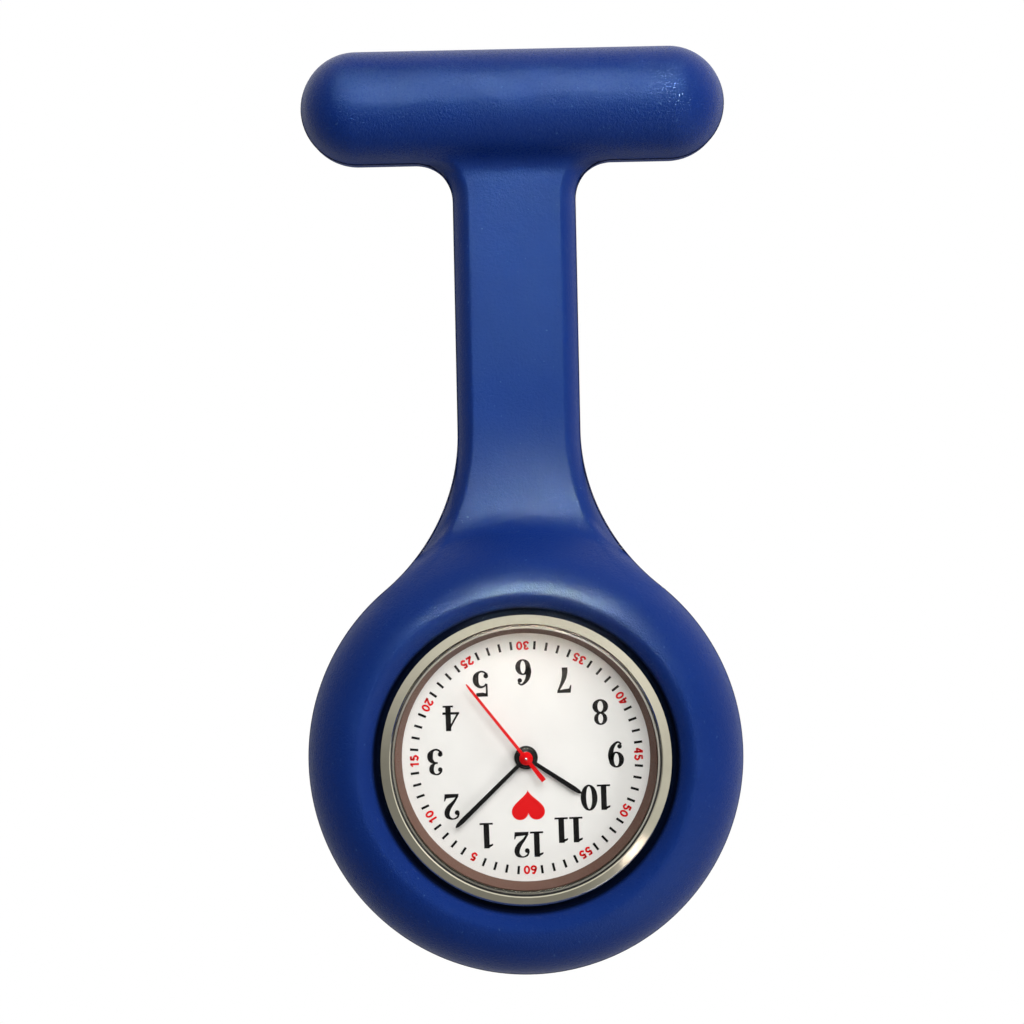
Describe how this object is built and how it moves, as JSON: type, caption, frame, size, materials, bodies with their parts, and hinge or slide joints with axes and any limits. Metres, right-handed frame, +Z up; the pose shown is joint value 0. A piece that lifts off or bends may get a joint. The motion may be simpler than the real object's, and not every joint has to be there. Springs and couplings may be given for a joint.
{
  "type": "fob watch",
  "caption": "Quartz watch head in a soft moulded holder with a strap and a top bar, hung by a brooch pin with a turning catch.",
  "frame": {"origin": "middle of the brooch pin's wire, behind the top bar", "axes": "+Z up along the holder, away from the dial; -Y out of the dial, towards the person in front; X along the bar and the pin"},
  "size_m": [0.0412, 0.0126, 0.0884],
  "materials": {
    "silicone": "matt moulded silicone with a fine grain",
    "brooch_steel": "bright drawn steel",
    "case_metal": "polished plating",
    "crystal": "clear mineral glass",
    "seal_black": "black rubber",
    "dial": "white lacquer",
    "hand_black": "black lacquer",
    "hand_red": "red lacquer",
    "movement_plastic": "moulded plastic",
    "movement_brass": "turned and stamped brass",
    "movement_steel": "plain steel",
    "board": "green laminate",
    "chip": "black epoxy",
    "copper": "enamelled copper wire"
  },
  "bodies": {
    "root": {"holder": "silicone", "brooch_base": "brooch_steel", "hinge_rivet": "brooch_steel", "case_body": "case_metal", "crystal": "crystal", "crystal_gasket": "seal_black", "rehaut_ring": "case_metal", "case_back": "case_metal", "case_back_gasket": "seal_black", "crown_tube": "case_metal", "dial": "dial", "dial_washer": "movement_brass", "movement_ring": "movement_plastic", "main_plate": "movement_brass", "train_bridge": "movement_brass", "movement_screws": "movement_steel", "circuit_board": "board", "quartz_can": "movement_steel", "ic_chip": "chip", "coil_core": "movement_steel", "coil_winding": "copper", "stator": "movement_steel", "battery": "movement_steel", "battery_contact": "movement_brass", "battery_strap": "movement_steel", "setting_lever": "movement_steel", "yoke": "movement_steel"},
    "brooch_pin": {"brooch_pin": "brooch_steel"},
    "catch_lock": {"catch_lock": "brooch_steel"},
    "crown_slide": {"crown_seal": "seal_black"},
    "crown": {"crown": "case_metal", "winding_stem": "movement_steel", "sliding_pinion": "movement_steel"},
    "rotor": {"rotor": "movement_steel"},
    "intermediate_wheel": {"intermediate_wheel": "movement_brass"},
    "seconds": {"second_wheel": "movement_brass", "second_hand": "hand_red"},
    "third_wheel": {"third_wheel": "movement_brass"},
    "minutes": {"centre_wheel": "movement_brass", "minute_hand": "hand_black"},
    "minute_wheel": {"minute_wheel": "movement_brass"},
    "setting_wheel": {"setting_wheel": "movement_brass"},
    "hours": {"hour_wheel": "movement_brass", "hour_hand": "hand_black"}
  },
  "joints": [
    {"name": "pin_hinge", "type": "hinge", "parent": "root", "child": "brooch_pin", "pos_m": [0.0128, 0, 0], "axis": [0, 0, -1], "range_deg": [0, 75]},
    {"name": "catch_turn", "type": "hinge", "parent": "root", "child": "catch_lock", "pos_m": [-0.0132, 0, 0], "axis": [-1, 0, 0], "range_deg": [0, 90]},
    {"name": "crown_pull", "type": "slide", "parent": "root", "child": "crown_slide", "axis": [-1, 0, 0], "range_m": [0, 0.001]},
    {"name": "crown_turn", "type": "hinge", "parent": "crown_slide", "child": "crown", "pos_m": [-0.0146, -0.005, -0.0624], "axis": [-1, 0, 0], "continuous": true},
    {"name": "seconds_turn", "type": "hinge", "parent": "root", "child": "seconds", "pos_m": [0, -0.0051, -0.0624], "axis": [0, 1, 0], "continuous": true},
    {"name": "rotor_turn", "type": "hinge", "parent": "root", "child": "rotor", "pos_m": [0.00262, -0.0051, -0.05952], "axis": [0, 1, 0], "continuous": true},
    {"name": "intermediate_turn", "type": "hinge", "parent": "root", "child": "intermediate_wheel", "pos_m": [0.00218, -0.0051, -0.06114], "axis": [0, 1, 0], "continuous": true},
    {"name": "third_turn", "type": "hinge", "parent": "root", "child": "third_wheel", "pos_m": [-0.0024, -0.0051, -0.06153], "axis": [0, 1, 0], "continuous": true},
    {"name": "minutes_turn", "type": "hinge", "parent": "root", "child": "minutes", "pos_m": [0, -0.0051, -0.0624], "axis": [0, 1, 0], "continuous": true},
    {"name": "minute_wheel_turn", "type": "hinge", "parent": "root", "child": "minute_wheel", "pos_m": [-0.00213, -0.0051, -0.06389], "axis": [0, 1, 0], "continuous": true},
    {"name": "setting_wheel_turn", "type": "hinge", "parent": "root", "child": "setting_wheel", "pos_m": [-0.00522, -0.0051, -0.06335], "axis": [0, 1, 0], "continuous": true},
    {"name": "hours_turn", "type": "hinge", "parent": "root", "child": "hours", "pos_m": [0, -0.0051, -0.0624], "axis": [0, 1, 0], "continuous": true}
  ],
  "couplings": [
    {"joint": "rotor_turn", "follows": "seconds_turn", "ratio": 30},
    {"joint": "intermediate_turn", "follows": "seconds_turn", "ratio": -5},
    {"joint": "third_turn", "follows": "seconds_turn", "ratio": -0.13333},
    {"joint": "minutes_turn", "follows": "seconds_turn", "ratio": 0.016667},
    {"joint": "minute_wheel_turn", "follows": "seconds_turn", "ratio": -0.0055556},
    {"joint": "setting_wheel_turn", "follows": "seconds_turn", "ratio": 0.0090909},
    {"joint": "hours_turn", "follows": "seconds_turn", "ratio": 0.0013889}
  ]
}
